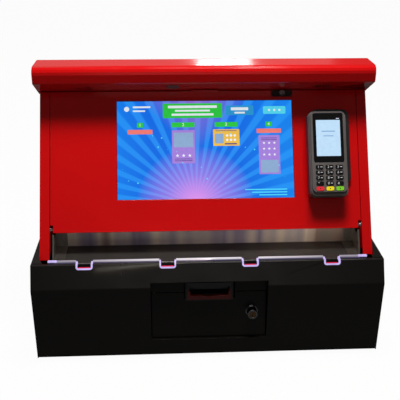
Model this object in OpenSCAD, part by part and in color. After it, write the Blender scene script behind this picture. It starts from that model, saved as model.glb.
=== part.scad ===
// Lottery ticket dispenser for a shop counter.
// Millimetres, +Z up, the front faces -Y, origin under the middle of the base.

/* [Base] */
// Width over the base side walls
base_w = 662; // [600:1:720]
// Height of the base top above the counter
base_h = 200; // [170:1:230]
// Depth of the base, front face to back
base_d = 386; // [330:1:450]
// Y of the upright front face
face_y = -190; // [-200:1:-180]
// Run of the sloped band, front to back
band_run = 21; // [10:1:30]
// Height of the sloped band
band_drop = 42; // [30:1:55]
// Sheet thickness of base, cabinet and hood
sheet = 2; // [1.5:0.5:3]
// Height of the rubber feet
foot_h = 8; // [5:1:15]
// Counter bolt holes, diameter
bolt_d = 8.5; // [6.5:0.5:10.5]
// Counter bolt holes, in from the base sides
bolt_in = 31; // [25:1:60]
// Counter bolt pattern, front to back
bolt_y = 200; // [160:10:240]

/* [Ticket tray] */
// Outermost ticket lane in from the cabinet side
lane_side = 88.8; // [86:0.1:92]
// Outside width of a finger notch
notch_w = 31; // [25:0.5:40]
// Notch depth down the sloped band
notch_drop = 9.5; // [5:0.5:15]
// Width of the polished edging round a notch
edging = 3; // [2:0.5:5]
// Tray floor below the base top
tray_drop = 13; // [8:1:20]
// Y of the tray back wall
tray_back_y = -71; // [-90:1:-60]
// Y of the hem at the tray's front edge
tray_front_y = -141; // [-150:1:-130]

/* [Cash opening] */
// Width of the opening in the base front
cash_w = 221; // [180:1:260]
// Height of its sill
sill_z = 43.5; // [35:0.5:60]
// Its top edge below the base top, up in the sloped band
cash_drop = 32.5; // [28:0.5:38]
// Lean of the cash door from upright
cash_lean = 7; // [0:1:12]
// Cash door swing
cash_swing = 90; // [60:1:90]

/* [Cabinet] */
// Step from the base side in to the cabinet side
cab_step = 10; // [6:1:20]
// Lean of the front from upright
lean = 30; // [20:1:40]
// Y of the front plane at the height of the base top
door_y = -123.2; // [-140:0.1:-100]
// Width of the front flanges
flange_w = 18.8; // [14:0.1:26]
// Slope distance from base top level to the hood underside
hood_s = 316; // [280:1:340]
// Reach of the canopy in front of the door plane
canopy_reach = 52; // [30:1:70]
// Height of the hood top above the base top
hood_rise = 330; // [310:1:350]
// Y of the back of the cabinet
cab_back = 180; // [140:1:190]
// Hood overhang on each side
hood_over = 5; // [2:0.5:10]

/* [Front door] */
// Slope distance of the door's lower edge
door_s0 = 39; // [30:1:60]
// Slope distance of its upper edge
door_s1 = 314; // [300:1:320]
// Depth of the door pan
door_t = 20; // [12:1:30]
// Door swing, forward and down
door_swing = 85; // [60:1:95]
// Hinge pin diameter
hinge_d = 8; // [6:0.5:10]
// Visible screen width
screen_w = 344.2; // [300:0.1:400]
// Visible screen height
screen_h = 193.6; // [160:0.1:240]
// Slope distance of the screen centre
screen_s = 197.8; // [190:0.1:205]

/* [Card terminal] */
// Centre of the terminal in from the door's side edge
term_side = 67.1; // [60:0.1:70]
// Slope distance of its centre
term_s = 180.5; // [170:0.5:190]
// Width of the case
term_w = 74; // [68:1:84]
// Length of the case
term_l = 166; // [150:1:185]
// Height of its face above the door
term_t = 38; // [30:1:48]
// Key width
key_w = 14.4; // [12:0.1:16]
// Key height
key_h = 7.4; // [6:0.1:9]
// Key travel
key_travel = 1; // [0.5:0.1:1.5]

/* [Ticket feeders] */
// Ticket width
ticket_w = 101.6; // [50.8:0.1:101.6]
// Feed roller diameter
feed_d = 30; // [20:1:36]
// Pressure roller diameter
press_d = 18; // [12:1:24]
// Shaft diameter
shaft_d = 8; // [6:0.5:10]

/* [Locks] */
// Cash lock barrel diameter
lock_d = 19; // [16:0.5:24]
// How far the cash lock stands out
lock_out = 18; // [10:1:28]
// Door lock barrel diameter
small_lock_d = 11; // [10:0.5:12]
// Door lock position across the door
small_lock_x = 153; // [100:1:200]

/* [Hidden] */
$fn = 48;
// Radial running clearance of pins, shafts and plugs.
run_gap = 0.05;
// Gap between a seated piece and its seat.
seat_gap = 0.3;
// Gap round doors.
door_gap = 1.1;
band_y = face_y + band_run;
bend_z = base_h - band_drop;
band_a = atan(band_run / band_drop);
back_y = face_y + base_d;
lip_y = band_y + 7.5;
cab_w = base_w - 2 * cab_step;
inner_w = cab_w - 2 * flange_w;
door_w = inner_w - 2 * door_gap;
bolt_x = base_w - 2 * bolt_in;
tray_z = base_h - tray_drop;
cash_top = base_h - cash_drop;
hood_top = base_h + hood_rise;
term_x = door_w / 2 - term_side;
lane_pitch = (cab_w / 2 - lane_side) / 1.5;
pin_x = door_w / 2 - 13.1;
pivot_s = door_s0 + 7;
pivot_t = -10;
cash_y = face_y + 6;
cash_z = sill_z + 1.5;
cash_half = cash_w / 2 - 1.5;
bezel_w = 90;
bezel_h = 39;
// The bill frame stands on whole millimetres, just under the top of the opening.
bezel_v = round((cash_top - cash_z) / cos(cash_lean) - bezel_h - 2.4);
cash_door_h = bezel_v + 11;
lock_v = cash_door_h - 40;
box_h = tray_z - 91;
bezel_t = 13;
slot_h = 9;
plug_d = 12;
small_plug_d = 7;
small_lock_s = door_s1 - 6.5;
roller_y = door_y + 93.2;
plate_in = ticket_w / 2 + 3;
nip = (feed_d + press_d) / 2 + seat_gap;
nip_a = 110;
deck_z = base_h + 40;
speaker_x = cab_w / 2 - 90;
roller_z = deck_z + 26;
lanes = [-1.5, -0.5, 0.5, 1.5] * lane_pitch;
key_cols = [-19, 0, 19];
key_rows = [-26.4, -36.9, -47.4, -57.9, -67.9];
glass_at = 30.5;
mount_at = [10.5, 18.5];
mount_holes = [48, 112];
panel_t = 16;
module_t = 34;
motor_l = 22;
screw_z = hood_top - 74;
screw_x = [-1, -1 / 3, 1 / 3, 1] * (cab_w / 2 - 21);
inlet_x = base_w / 2 - 111;

// A point of the side view, s up the door plane and t out of it, as [Y, Z].
function face_pt(s, t) =
  [door_y + s * sin(lean) - t * cos(lean), base_h + s * cos(lean) + t * sin(lean)];

function unit(v) = v / norm(v);
function left(v) = [-v[1], v[0]];

// Arc that rounds the corner b between a and c.
function bend(a, b, c, r, n = 4) =
  let (u = unit(a - b), v = unit(c - b), half = acos(u * v) / 2)
  let (mid = b + unit(u + v) * r / sin(half), p = b + u * r / tan(half), q = b + v * r / tan(half))
  let (a0 = atan2(p[1] - mid[1], p[0] - mid[0]), a1 = atan2(q[1] - mid[1], q[0] - mid[0]))
  let (turn = (a1 - a0 + 540) % 360 - 180)
  [for (i = [0 : n]) mid + r * [cos(a0 + turn * i / n), sin(a0 + turn * i / n)]];

// Folded line with every inner corner rounded to its own bend radius.
function folded(p, r) =
  [p[0], for (i = [1 : len(p) - 2]) each bend(p[i - 1], p[i], p[i + 1], r[i - 1]), p[len(p) - 1]];

// Mitred point at thickness t to the left of the line p.
function inside(p, i, t) =
  let (a = i == 0 ? unit(p[1] - p[0]) : unit(p[i] - p[i - 1]))
  let (b = i == len(p) - 1 ? a : unit(p[i + 1] - p[i]), n = unit(left(a) + left(b)))
  p[i] + n * t / (n * left(a));

// Outline of a folded sheet, t thick to the left of its line.
function folded_sheet(p, t) = concat(p, [for (i = [len(p) - 1 : -1 : 0]) inside(p, i, t)]);

// Side view outline, [Y, Z], run along X and centred.
module along_x(w) {
  rotate([90, 0, 90])
    linear_extrude(height = w, center = true)
      children();
}

// Frame of the leaning front: X across, Y up the slope, Z out of the door.
module on_door() {
  translate([0, door_y, base_h])
    rotate([90 - lean, 0, 0])
      children();
}

// Frame of the cash door: X across, Y up its face, Z out of it.
module on_cash() {
  translate([0, cash_y, cash_z])
    rotate([90 - cash_lean, 0, 0])
      children();
}

// Frame of the sloped band: X across, Y up the band from its top edge, Z out of it.
module on_band() {
  translate([0, band_y, base_h])
    rotate([90 - band_a, 0, 0])
      children();
}

module both_sides() {
  children();
  mirror([1, 0, 0])
    children();
}

module rounded_rect(w, h, r) {
  square([w - 2 * r, h], center = true);
  square([w, h - 2 * r], center = true);
  for (x = [-1, 1], y = [-1, 1])
    translate([x * (w / 2 - r), y * (h / 2 - r)])
      circle(r);
}

module bar(size, at) {
  translate(at)
    cube(size, center = true);
}

// Base.

// Inner edge of the top rim, with the cut front corners seen in the photo.
function well_side(k) =
  [[k * (cab_w / 2 - 12), lip_y - 2.5], [k * (cab_w / 2 - 5), band_y + 20],
   [k * (cab_w / 2 + seat_gap), door_y], [k * (cab_w / 2 + seat_gap), cab_back + seat_gap]];

// U outline of one finger notch in the band frame, grown outward all round.
module notch_outline(grow) {
  r = 5 + grow;
  half = notch_w / 2 + grow;
  floor_v = -notch_drop - grow;
  translate([-half, floor_v + r])
    square([2 * half, 40]);
  translate([r - half, floor_v])
    square([2 * (half - r), 20]);
  for (k = [-1, 1])
    translate([k * (half - r), floor_v + r])
      circle(r);
}

module notch_cut() {
  for (x = lanes)
    translate([x, 0, 0])
      on_band()
        translate([0, 0, -15])
          linear_extrude(height = 30)
            notch_outline(seat_gap);
}

module base_shell() {
  color([0.06, 0.06, 0.07])
    difference() {
      union() {
        both_sides()
          translate([base_w / 2 - sheet / 2, 0, 0])
            along_x(sheet)
              polygon([[face_y, foot_h], [back_y, foot_h], [back_y, base_h],
                [band_y, base_h], [face_y, bend_z]]);
        bar([base_w - 2 * sheet, base_d - sheet, sheet],
          [0, (face_y + sheet + back_y) / 2, foot_h + sheet / 2]);
        bar([base_w - 2 * sheet, sheet, base_h - foot_h],
          [0, back_y - sheet / 2, (base_h + foot_h) / 2]);
        translate([0, 0, base_h - sheet])
          linear_extrude(height = sheet)
            difference() {
              translate([-base_w / 2 + sheet, lip_y])
                square([base_w - 2 * sheet, back_y - lip_y]);
              polygon(concat(well_side(-1), [for (i = [3 : -1 : 0]) well_side(1)[i]]));
            }
        // Rails that carry the cabinet inside the rim.
        both_sides()
          bar([20, cab_back + 128, sheet], [base_w / 2 - sheet - 10, (cab_back - 128) / 2, tray_z]);
      }
      for (x = [-1, 1], y = [-1, 1])
        translate([x * bolt_x / 2, y * bolt_y / 2, foot_h - 1])
          cylinder(d = bolt_d, h = sheet + 2);
      // Opening for the power inlet.
      bar([50, 10, 32], [inlet_x, back_y, 60]);
      // Vent slots in the back.
      for (i = [0 : 7])
        bar([60, 10, 4], [-160, back_y, 60 + i * 12]);
    }
}

// One sheet: ledge under the tray, channel wall, top strip, band, face and foot flange.
module base_front() {
  ledge_z = tray_z - 7 - seat_gap;
  side_h = cash_top - sill_z - 7;
  line = folded([[tray_front_y + 7, ledge_z], [lip_y, ledge_z], [lip_y, base_h], [band_y, base_h],
    [face_y, bend_z], [face_y, foot_h + sheet], [face_y + 18, foot_h + sheet]],
    [2, 2.6, 2.6, 12, 3]);
  color([0.07, 0.07, 0.08])
    difference() {
      union() {
        along_x(base_w - 2 * sheet)
          polygon(folded_sheet(line, sheet));
        // Return flanges of the cash opening: sides and sill.
        both_sides()
          bar([1.5, 18.5, side_h], [cash_w / 2 + 0.75, face_y + 10.75, sill_z - 1 + side_h / 2]);
        bar([cash_w + 3, 12.5, 1.5], [0, face_y + 7.75, sill_z - 0.75]);
      }
      notch_cut();
      bar([cash_w, 60, cash_top - sill_z], [0, face_y, (cash_top + sill_z) / 2]);
    }
}

module rubber_feet() {
  color([0.1, 0.1, 0.1])
    for (x = [-1, 1], y = [-1, 1])
      translate([x * (base_w / 2 - 40), y * (base_d / 2 - 45), 0])
        difference() {
          cylinder(d1 = 34, d2 = 38, h = foot_h);
          translate([0, 0, -1])
            cylinder(d = 12, h = 4);
        }
}

// Polished lip: straight bars, and a separate U of edging in every finger notch.
module lip_trim() {
  half = cab_w / 2 - 37;
  side = notch_w / 2 + seat_gap;
  ends = concat([-half], [for (x = lanes) each [x - side, x + side]], [half]);
  color([0.86, 0.86, 0.9])
    union() {
      for (i = [0 : 2 : len(ends) - 2])
        bar([ends[i + 1] - ends[i], 4, 8], [(ends[i] + ends[i + 1]) / 2, lip_y + 2, base_h]);
      for (x = lanes)
        translate([x, 0, 0])
          union() {
            both_sides()
              bar([edging, 12, 5], [(notch_w - edging) / 2, lip_y - 2, base_h - 1]);
            on_band()
              translate([0, 0, -4])
                linear_extrude(height = 5)
                  difference() {
                    intersection() {
                      notch_outline(0);
                      translate([-notch_w, -notch_drop])
                        square([2 * notch_w, notch_drop]);
                    }
                    notch_outline(-edging);
                  }
          }
      // Polished end tabs.
      both_sides()
        bar([16, 5, 4], [half + 8, lip_y + 2.5, base_h + 2]);
    }
}

// Ticket tray.

module tray_liner() {
  line = folded([[tray_front_y, tray_z - 7], [tray_front_y, tray_z], [tray_back_y, tray_z],
    [tray_back_y, tray_z + 39]], [2, 2]);
  color([0.62, 0.59, 0.55])
    along_x(cab_w - 54.6)
      polygon(folded_sheet(line, -1.5));
}

module tray_end_plates() {
  x = cab_w / 2 - 27;
  top = tray_z + 33;
  color([0.7, 0.68, 0.66])
    both_sides()
      union() {
        translate([x + 1.5, 0, 0])
          along_x(3)
            polygon([face_pt(-15, -1), face_pt(36, -1), face_pt(31, -6), [tray_back_y - 27, top],
              [tray_back_y, top], [tray_back_y, tray_z]]);
        // Feet on the tray floor and back wall stop short of the bend between them.
        bar([20, 52.8, 1], [x - 10, tray_back_y - 2.2 - 26.4, tray_z + 0.5]);
        bar([20, 1, 28.8], [x - 10, tray_back_y - 0.5, tray_z + 16.6]);
      }
}

// Cash opening.

module bill_header() {
  low = cash_door_h + 1.5;
  top = (cash_top - cash_z) / cos(cash_lean) + 3;
  color([0.08, 0.08, 0.09])
    on_cash()
      difference() {
        union() {
          bar([cash_w - 2 * seat_gap, top - low, 2], [0, (top + low) / 2, -1]);
          // Fold that meets the back of the sloped band.
          bar([cash_w - 2 * seat_gap, 1.5, 11], [0, top - 0.75, 4.5]);
        }
        bar([96.5, top - bezel_v - 2, 10], [1.25, (top + bezel_v - 2) / 2, -1]);
        // Relief for the upper hinge pin.
        translate([5 - cash_half, low - 1, -3.5])
          rotate([-90, 0, 0])
            cylinder(d = 4 + 2 * seat_gap, h = 5);
      }
}

// Upper and lower edges of the bill mouth are arcs of two large circles.
module bill_mouth(half, top, drop_top, bottom, drop_bottom) {
  r1 = (half * half + drop_top * drop_top) / (2 * drop_top);
  r2 = (half * half + drop_bottom * drop_bottom) / (2 * drop_bottom);
  intersection() {
    translate([-half, bottom - drop_bottom])
      square([2 * half, top - bottom + drop_bottom]);
    difference() {
      translate([0, bottom - drop_bottom + r2])
        circle(r2, $fn = 120);
      translate([0, top - drop_top + r1])
        circle(r1, $fn = 120);
    }
  }
}

module bill_mouth_here() {
  bill_mouth(38, 30.5, 5, 19, 10.5);
}

module bill_bezel() {
  color([0.16, 0.16, 0.17])
    on_cash()
      translate([0, bezel_v, 0])
        difference() {
          union() {
            translate([0, bezel_h / 2, 0])
              linear_extrude(height = bezel_t)
                rounded_rect(bezel_w, bezel_h, 3);
            // Back plate that reaches the validator.
            bar([86, bezel_h - 4, 6.2], [0, bezel_h / 2, -2.9]);
            // Upper brow, bowed down over the mouth.
            translate([0, 0, bezel_t])
              linear_extrude(height = 3)
                difference() {
                  translate([-41, 24])
                    square([82, 13.5]);
                  bill_mouth_here();
                }
          }
          translate([0, 0, 4])
            linear_extrude(height = 20)
              bill_mouth_here();
          // Bill slot through the frame.
          bar([72, slot_h, 40], [0, 15, 0]);
          // Recess that holds the lamp.
          translate([0, 0, 6])
            linear_extrude(height = 10)
              difference() {
                translate([-42, 2])
                  square([84, 20]);
                translate([-38, 19])
                  square([76, 10]);
              }
        }
}

module bill_lamp() {
  color([0.8, 0.08, 0.06])
    on_cash()
      translate([0, bezel_v, 6 + seat_gap])
        difference() {
          linear_extrude(height = bezel_t - 5.5)
            difference() {
              translate([seat_gap - 42, 2 + seat_gap])
                square([84 - 2 * seat_gap, 20 - 2 * seat_gap]);
              bill_mouth_here();
              translate([-38, 19])
                square([76, 10]);
            }
          bar([72, slot_h, 40], [0, 15, 0]);
        }
}

module bill_validator() {
  color([0.2, 0.2, 0.22])
    difference() {
      union() {
        bar([100, 112, 54], [0, face_y + 94, tray_z - 40]);
        bar([74, 90, 8], [0, face_y + 95, tray_z - 70.5]);
        // Hanger under the tray ledge.
        bar([80, 14, 5], [0, face_y + 45, tray_z - 9.6 - 2.5]);
        // Snout that meets the back plate of the bezel.
        on_cash()
          bar([86, bezel_h - 6, 24], [0, bezel_v + bezel_h / 2, -18 - seat_gap]);
      }
      // Bill channel in line with the slot of the bezel.
      on_cash()
        bar([72, slot_h, 160], [0, bezel_v + 15, 0]);
    }
}

module cash_box() {
  floor_z = foot_h + sheet + seat_gap;
  color([0.45, 0.46, 0.48])
    union() {
      difference() {
        bar([110, 190, box_h], [0, face_y + 133, floor_z + box_h / 2]);
        bar([76, 140, 20], [0, face_y + 120, floor_z + box_h + 1.7]);
        bar([60, 12, 26], [0, face_y + 38, 50]);
      }
      // Carrying handle in the front recess.
      translate([0, face_y + 40.5, 52])
        rotate([0, 90, 0])
          cylinder(d = 5, h = 61, center = true);
    }
}

module cash_door() {
  w = cash_half;
  color([0.05, 0.05, 0.06])
    on_cash()
      difference() {
        union() {
          bar([2 * w, cash_door_h, 2], [0, cash_door_h / 2, -1]);
          both_sides()
            bar([1.5, cash_door_h, 12], [w - 0.75, cash_door_h / 2, -6]);
          bar([2 * w, 1.5, 12], [0, 0.75, -6]);
          // Knuckles round the hinge pins.
          for (y = [7, cash_door_h - 7])
            bar([10, 10, 10], [5 - w, y, -7]);
          // Stiffening ribs.
          for (x = [-60, 0, 50])
            bar([2, cash_door_h - 26, 8], [x, (cash_door_h - 16) / 2, -5]);
        }
        translate([5 - w, -1, -3.5])
          rotate([-90, 0, 0])
            cylinder(d = 4 + 2 * run_gap, h = cash_door_h + 4);
        // Notch round the bill frame, wider on the side that swings past it.
        bar([96.5, 20, 40], [1.25, bezel_v - 1.5 + 10, 0]);
        translate([82, lock_v, -20])
          cylinder(d = lock_d - 2 + 2 * seat_gap, h = 40);
      }
}

// Lock barrel round a turning plug, standing on the frame of its door.
module lock_barrel(d, bore, out, depth, rim) {
  difference() {
    union() {
      cylinder(d = d, h = out);
      cylinder(d = d + rim, h = 2.2);
      translate([0, 0, -depth])
        cylinder(d = d - 2, h = depth);
      // Nut behind the door sheet.
      translate([0, 0, -sheet - 2 * seat_gap - 3])
        cylinder(d = d + rim, h = 3, $fn = 6);
    }
    translate([0, 0, -depth - 1])
      cylinder(d = bore, h = depth + out + 2);
  }
}

module lock_plug(d, out, depth, cam_l, cam_w) {
  difference() {
    union() {
      translate([0, 0, -depth - 3.4])
        cylinder(d = d, h = depth + out + 3.1);
      // Cam plate behind the barrel.
      translate([0, (cam_l - cam_w / 2) / 2, -depth - 1.9])
        cube([cam_w, cam_l - cam_w / 2, 3], center = true);
      for (y = [0, cam_l - cam_w / 2])
        translate([0, y, -depth - 3.4])
          cylinder(d = cam_w, h = 3);
    }
    // Keyway.
    bar([1.6, d * 0.7, 8], [0, 0, out]);
  }
}

module cash_lock_barrel() {
  color([0.8, 0.8, 0.82])
    on_cash()
      translate([82, lock_v, seat_gap])
        lock_barrel(lock_d, plug_d + 2 * run_gap, lock_out, 12, 5);
}

module cash_lock_plug() {
  color([0.75, 0.62, 0.3])
    on_cash()
      translate([82, lock_v, seat_gap])
        lock_plug(plug_d, lock_out, 12.4, 36, 13);
}

// Cabinet.

module cabinet_shell() {
  low = (tray_z + 1 - base_h) / cos(lean);
  in_x = inner_w / 2;
  back_z = screw_z + 6;
  color([0.72, 0.03, 0.04])
    difference() {
      union() {
        both_sides() {
          translate([cab_w / 2 - sheet / 2, 0, 0])
            along_x(sheet)
              polygon([face_pt(low, 0), face_pt(hood_s + 20, 0), [cab_back - 106, hood_top - 24],
                [cab_back, back_z], [cab_back, tray_z + 1]]);
          on_door()
            union() {
              bar([flange_w, door_s1 - low - 1.2, sheet],
                [in_x + flange_w / 2, (door_s1 + low + 1.2) / 2, -sheet / 2]);
              bar([1.5, door_s1 - low - 14, door_t],
                [in_x + 0.75, (door_s1 + low + 14) / 2, -door_t / 2]);
            }
        }
        bar([cab_w, sheet, back_z - tray_z - 1],
          [0, cab_back - sheet / 2, (back_z + tray_z + 1) / 2]);
      }
      // Louvres in the back.
      for (k = [-1, 0, 1], i = [0 : 5])
        bar([120, 10, 5], [k * (cab_w / 2 - 121), cab_back, base_h + 130 + i * 16]);
      screw_holes(4.6);
      both_sides()
        on_door()
          translate([in_x, pivot_s, pivot_t])
            rotate([0, 90, 0])
              cylinder(d = hinge_d + 2 * seat_gap, h = 8, center = true);
    }
}

// Holes and shanks of the four screws that hold the hood to the cabinet back.
module screw_holes(d) {
  for (x = screw_x)
    translate([x, cab_back - 8, screw_z])
      rotate([-90, 0, 0])
        cylinder(d = d, h = 14);
}

module canopy_hood() {
  w = cab_w / 2 + hood_over;
  nose = face_pt(hood_s, canopy_reach);
  back = cab_back + seat_gap + sheet;
  line = folded([face_pt(hood_s, canopy_reach - 7), nose, [nose[0], hood_top],
    [cab_back - 121, hood_top], [back, hood_top - 62], [back, hood_top - 82]], [3, 14, 8, 6]);
  color([0.78, 0.05, 0.05])
    difference() {
      union() {
        along_x(2 * w)
          polygon(folded_sheet(line, -sheet));
        both_sides()
          translate([w - sheet / 2, 0, 0])
            along_x(sheet)
              polygon(concat(line, [face_pt(hood_s, -20)]));
      }
      screw_holes(4.6);
    }
}

// Lower panel of the canopy: wide in front, narrow between the cabinet sides, with the
// strike flange that the door lock turns behind.
module canopy_underside() {
  wide = cab_w / 2 + hood_over - sheet - seat_gap;
  narrow = cab_w / 2 - sheet - seat_gap;
  front = canopy_reach - 7 - seat_gap;
  color([0.5, 0.02, 0.03])
    difference() {
      union() {
        along_x(2 * wide)
          polygon([for (p = folded_sheet([[hood_s, seat_gap], [hood_s, front]], -1.5))
            face_pt(p[0], p[1])]);
        along_x(2 * narrow)
          polygon([for (p = folded_sheet([[hood_s + 12, -20.5], [hood_s, -20.5], [hood_s, 1]],
            -1.5)) face_pt(p[0], p[1])]);
      }
      on_door()
        translate([0, hood_s - 2, 0])
          rotate([-90, 0, 0])
            union() {
              // Slanted speaker slots, long in the middle and short at the ends.
              for (k = [-1, 1], i = [-3.5 : 3.5])
                translate([k * speaker_x + i * 4.6, -20, 0])
                  rotate([0, 0, -18])
                    bar([2.2, 32 * sqrt(1 - i * i / 16), 12], [0, 0, 0]);
              translate([-62, -25, -4])
                cylinder(d = 26 + 2 * seat_gap, h = 12);
            }
    }
}

module speakers() {
  color([0.12, 0.12, 0.12])
    both_sides()
      on_door()
        translate([speaker_x, hood_s + 1.5 + seat_gap, 20])
          rotate([-90, 0, 0])
            difference() {
              union() {
                cylinder(d = 44, h = 4);
                cylinder(d1 = 40, d2 = 22, h = 12);
                translate([0, 0, 11])
                  cylinder(d = 24, h = 7);
              }
              translate([0, 0, -1])
                cylinder(d1 = 38, d2 = 12, h = 9);
            }
}

module sensor_window() {
  color([0.3, 0.32, 0.35])
    on_door()
      translate([-62, hood_s - 0.8, 25])
        rotate([-90, 0, 0])
          union() {
            cylinder(d = 26, h = 3.5);
            translate([0, 0, 2.3 + seat_gap])
              cylinder(d = 30, h = 2);
          }
}

// Front door.

// Pins of the front door and of the cash door.
module hinge_pins() {
  reach = cab_w / 2 - sheet - pin_x;
  color([0.55, 0.55, 0.57])
    union() {
      both_sides()
        on_door()
          translate([pin_x, pivot_s, pivot_t])
            rotate([0, 90, 0])
              union() {
                cylinder(d = hinge_d, h = reach);
                // Collar on the outside of the flange return.
                translate([0, 0, inner_w / 2 + 1.8 - pin_x])
                  cylinder(d = hinge_d + 6, h = 3);
                translate([0, 0, reach - 2])
                  cylinder(d = hinge_d + 8, h = 2);
              }
      on_cash()
        translate([5 - cash_half, 0, 0])
          union() {
            translate([0, -0.5, -3.5])
              rotate([-90, 0, 0])
                cylinder(d = 4, h = 11.5);
            translate([0, cash_door_h - 10, -3.5])
              rotate([-90, 0, 0])
                cylinder(d = 4, h = 14);
            bar([10, 8, 6], [0, cash_door_h + 6, -2 - seat_gap - 3]);
          }
    }
}

module front_door() {
  w = door_w / 2;
  mid = (door_s0 + door_s1) / 2;
  h = door_s1 - door_s0;
  color([0.74, 0.03, 0.04])
    on_door()
      difference() {
        union() {
          bar([door_w, h, sheet], [0, mid, -sheet / 2]);
          for (y = [door_s0 + 0.75, door_s1 - 0.75])
            bar([door_w, 1.5, door_t], [0, y, -door_t / 2]);
          both_sides() {
            bar([1.5, h - 16, door_t], [w - 0.75, mid + 8, -door_t / 2]);
            // Hinge ear inside the lower corner.
            bar([4, 22, 17], [w - 9.1, door_s0 + 12, -sheet - 8.5]);
            bar([12, 2, 17], [w - 6, door_s0 + 15.5, -sheet - 8.5]);
          }
          // Stiffeners either side of the screen.
          for (x = [-screen_w / 2 - 32.9, (screen_w / 2 + 11 + term_x + mount_at[0] - 27.5) / 2])
            bar([2, h - 2, 10], [x, mid, -6.5]);
          // Finger pull folded out of the top edge.
          bar([54, 1.5, 9], [0, door_s1 - 0.75, 3.5]);
        }
        bar([screen_w + 1.6, screen_h + 1.6, 60], [0, screen_s, 0]);
        // Hinge reliefs in the lower corners.
        both_sides() {
          bar([14, 30, 60], [w + 1.5, door_s0 - 0.5, 0]);
          translate([w - 21.1, pivot_s, pivot_t])
            rotate([0, 90, 0])
              cylinder(d = hinge_d + 2 * run_gap, h = 22);
        }
        translate([small_lock_x, small_lock_s, -30])
          cylinder(d = small_lock_d - 2 + 2 * seat_gap, h = 60);
        // Cable hole and screw holes behind the terminal.
        translate([term_x, term_s, -30])
          cylinder(d = 22, h = 60);
        mount_screw_places()
          translate([0, 0, -10])
            cylinder(d = 4.6, h = 20);
      }
}

// Black plate round the small lock.
module door_lock_plate() {
  color([0.04, 0.04, 0.04])
    on_door()
      translate([small_lock_x, small_lock_s, seat_gap])
        linear_extrude(height = 3)
          difference() {
            rounded_rect(42, 12, 5.8);
            circle(d = small_lock_d + 2 * seat_gap);
          }
}

module door_lock_barrel() {
  color([0.8, 0.8, 0.82])
    on_door()
      translate([small_lock_x, small_lock_s, seat_gap])
        lock_barrel(small_lock_d, small_plug_d + 2 * run_gap, 7, 22, 0);
}

module door_lock_plug() {
  color([0.75, 0.62, 0.3])
    on_door()
      translate([small_lock_x, small_lock_s, seat_gap])
        rotate([0, 0, 90])
          lock_plug(small_plug_d, 7, 22.4, 20, 9);
}

module screen_glass() {
  color([0.1, 0.3, 0.6])
    on_door()
      bar([screen_w + 16, screen_h + 16, 3], [0, screen_s, -sheet - seat_gap - 1.5]);
}

module screen_panel() {
  front = -sheet - 2 * seat_gap - 3;
  color([0.15, 0.15, 0.16])
    on_door()
      difference() {
        bar([screen_w + 22, screen_h + 10, panel_t + front], [0, screen_s, (front - panel_t) / 2]);
        // Stamped recesses in the back of the panel.
        both_sides()
          bar([150, 20, 4], [85, screen_s - 86, -panel_t]);
      }
}

module controller() {
  back = -panel_t - seat_gap;
  mid = screen_s + 15;
  color([0.3, 0.3, 0.32])
    on_door()
      difference() {
        union() {
          bar([300, 150, module_t - panel_t - seat_gap], [0, mid, (back - module_t) / 2]);
          // Heat sink fins.
          for (i = [-6 : 6])
            bar([3, 110, 5], [i * 20, mid, -module_t - 2]);
        }
        // Sockets in the lower edge.
        for (x = [-100, -70, -40, 20, 60])
          bar([18, 12, 9], [x, mid - 75, -26]);
      }
}

// Card terminal.

module on_terminal() {
  on_door()
    translate([term_x, term_s, 0])
      children();
}

module mount_screw_places() {
  for (x = [-0.5, 0.5], y = [-0.5, 0.5])
    translate([term_x + mount_at[0] + x * mount_holes[0], term_s + mount_at[1] + y * mount_holes[1], 0])
      children();
}

module terminal_mount() {
  color([0.04, 0.04, 0.045])
    on_door()
      difference() {
        translate([term_x + mount_at[0], term_s + mount_at[1], seat_gap])
          linear_extrude(height = 9)
            rounded_rect(77, 148, 14);
        translate([term_x, term_s, -1])
          cylinder(d = 22, h = 20);
        mount_screw_places()
          cylinder(d = 4.6, h = 30, center = true);
      }
}

module key_holes(gap) {
  for (x = key_cols, y = key_rows)
    translate([x, y, 0])
      rounded_rect(key_w + 2 * gap, key_h + 2 * gap, 2.2 + gap);
}

module terminal_case() {
  color([0.42, 0.39, 0.38])
    on_terminal()
      difference() {
        union() {
          translate([0, 0, 9 + 2 * seat_gap])
            linear_extrude(height = 20)
              rounded_rect(term_w, term_l, 11);
          translate([0, 0, 29])
            linear_extrude(height = term_t - 33)
              rounded_rect(term_w - 3, term_l - 4, 10);
          translate([0, 3.5, term_t - 4])
            linear_extrude(height = 4)
              rounded_rect(term_w - 7, term_l - 10, 9);
        }
        // Hollow for the board and the keys.
        translate([0, 0, 13])
          linear_extrude(height = term_t - 17)
            rounded_rect(term_w - 12, term_l - 16, 7);
        translate([0, 0, term_t - 10])
          linear_extrude(height = 20)
            key_holes(seat_gap);
        // Recess of the display glass.
        translate([0, glass_at, term_t - 1.6])
          linear_extrude(height = 10)
            rounded_rect(58.8, 96, 3.3);
        // Card slot in the lower end.
        bar([56, 30, 2.4], [0, -term_l / 2, 24]);
        cylinder(d = 18, h = 16);
      }
}

module terminal_glass() {
  color([0.03, 0.03, 0.04])
    on_terminal()
      translate([0, glass_at, term_t - 1.6 + seat_gap])
        linear_extrude(height = 1.6)
          rounded_rect(58.2, 95.4, 3);
}

// One key: cap with a retaining flange under the case face.
module key_at(column, row, shade) {
  color(shade)
    on_terminal()
      translate([key_cols[column], key_rows[row], 0])
        union() {
          translate([0, 0, term_t - 5.6])
            linear_extrude(height = 6.8)
              rounded_rect(key_w, key_h, 2.2);
          translate([0, 0, term_t - 6.6])
            linear_extrude(height = 1.2)
              rounded_rect(key_w + 2, key_h + 2, 2.2);
        }
}

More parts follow.
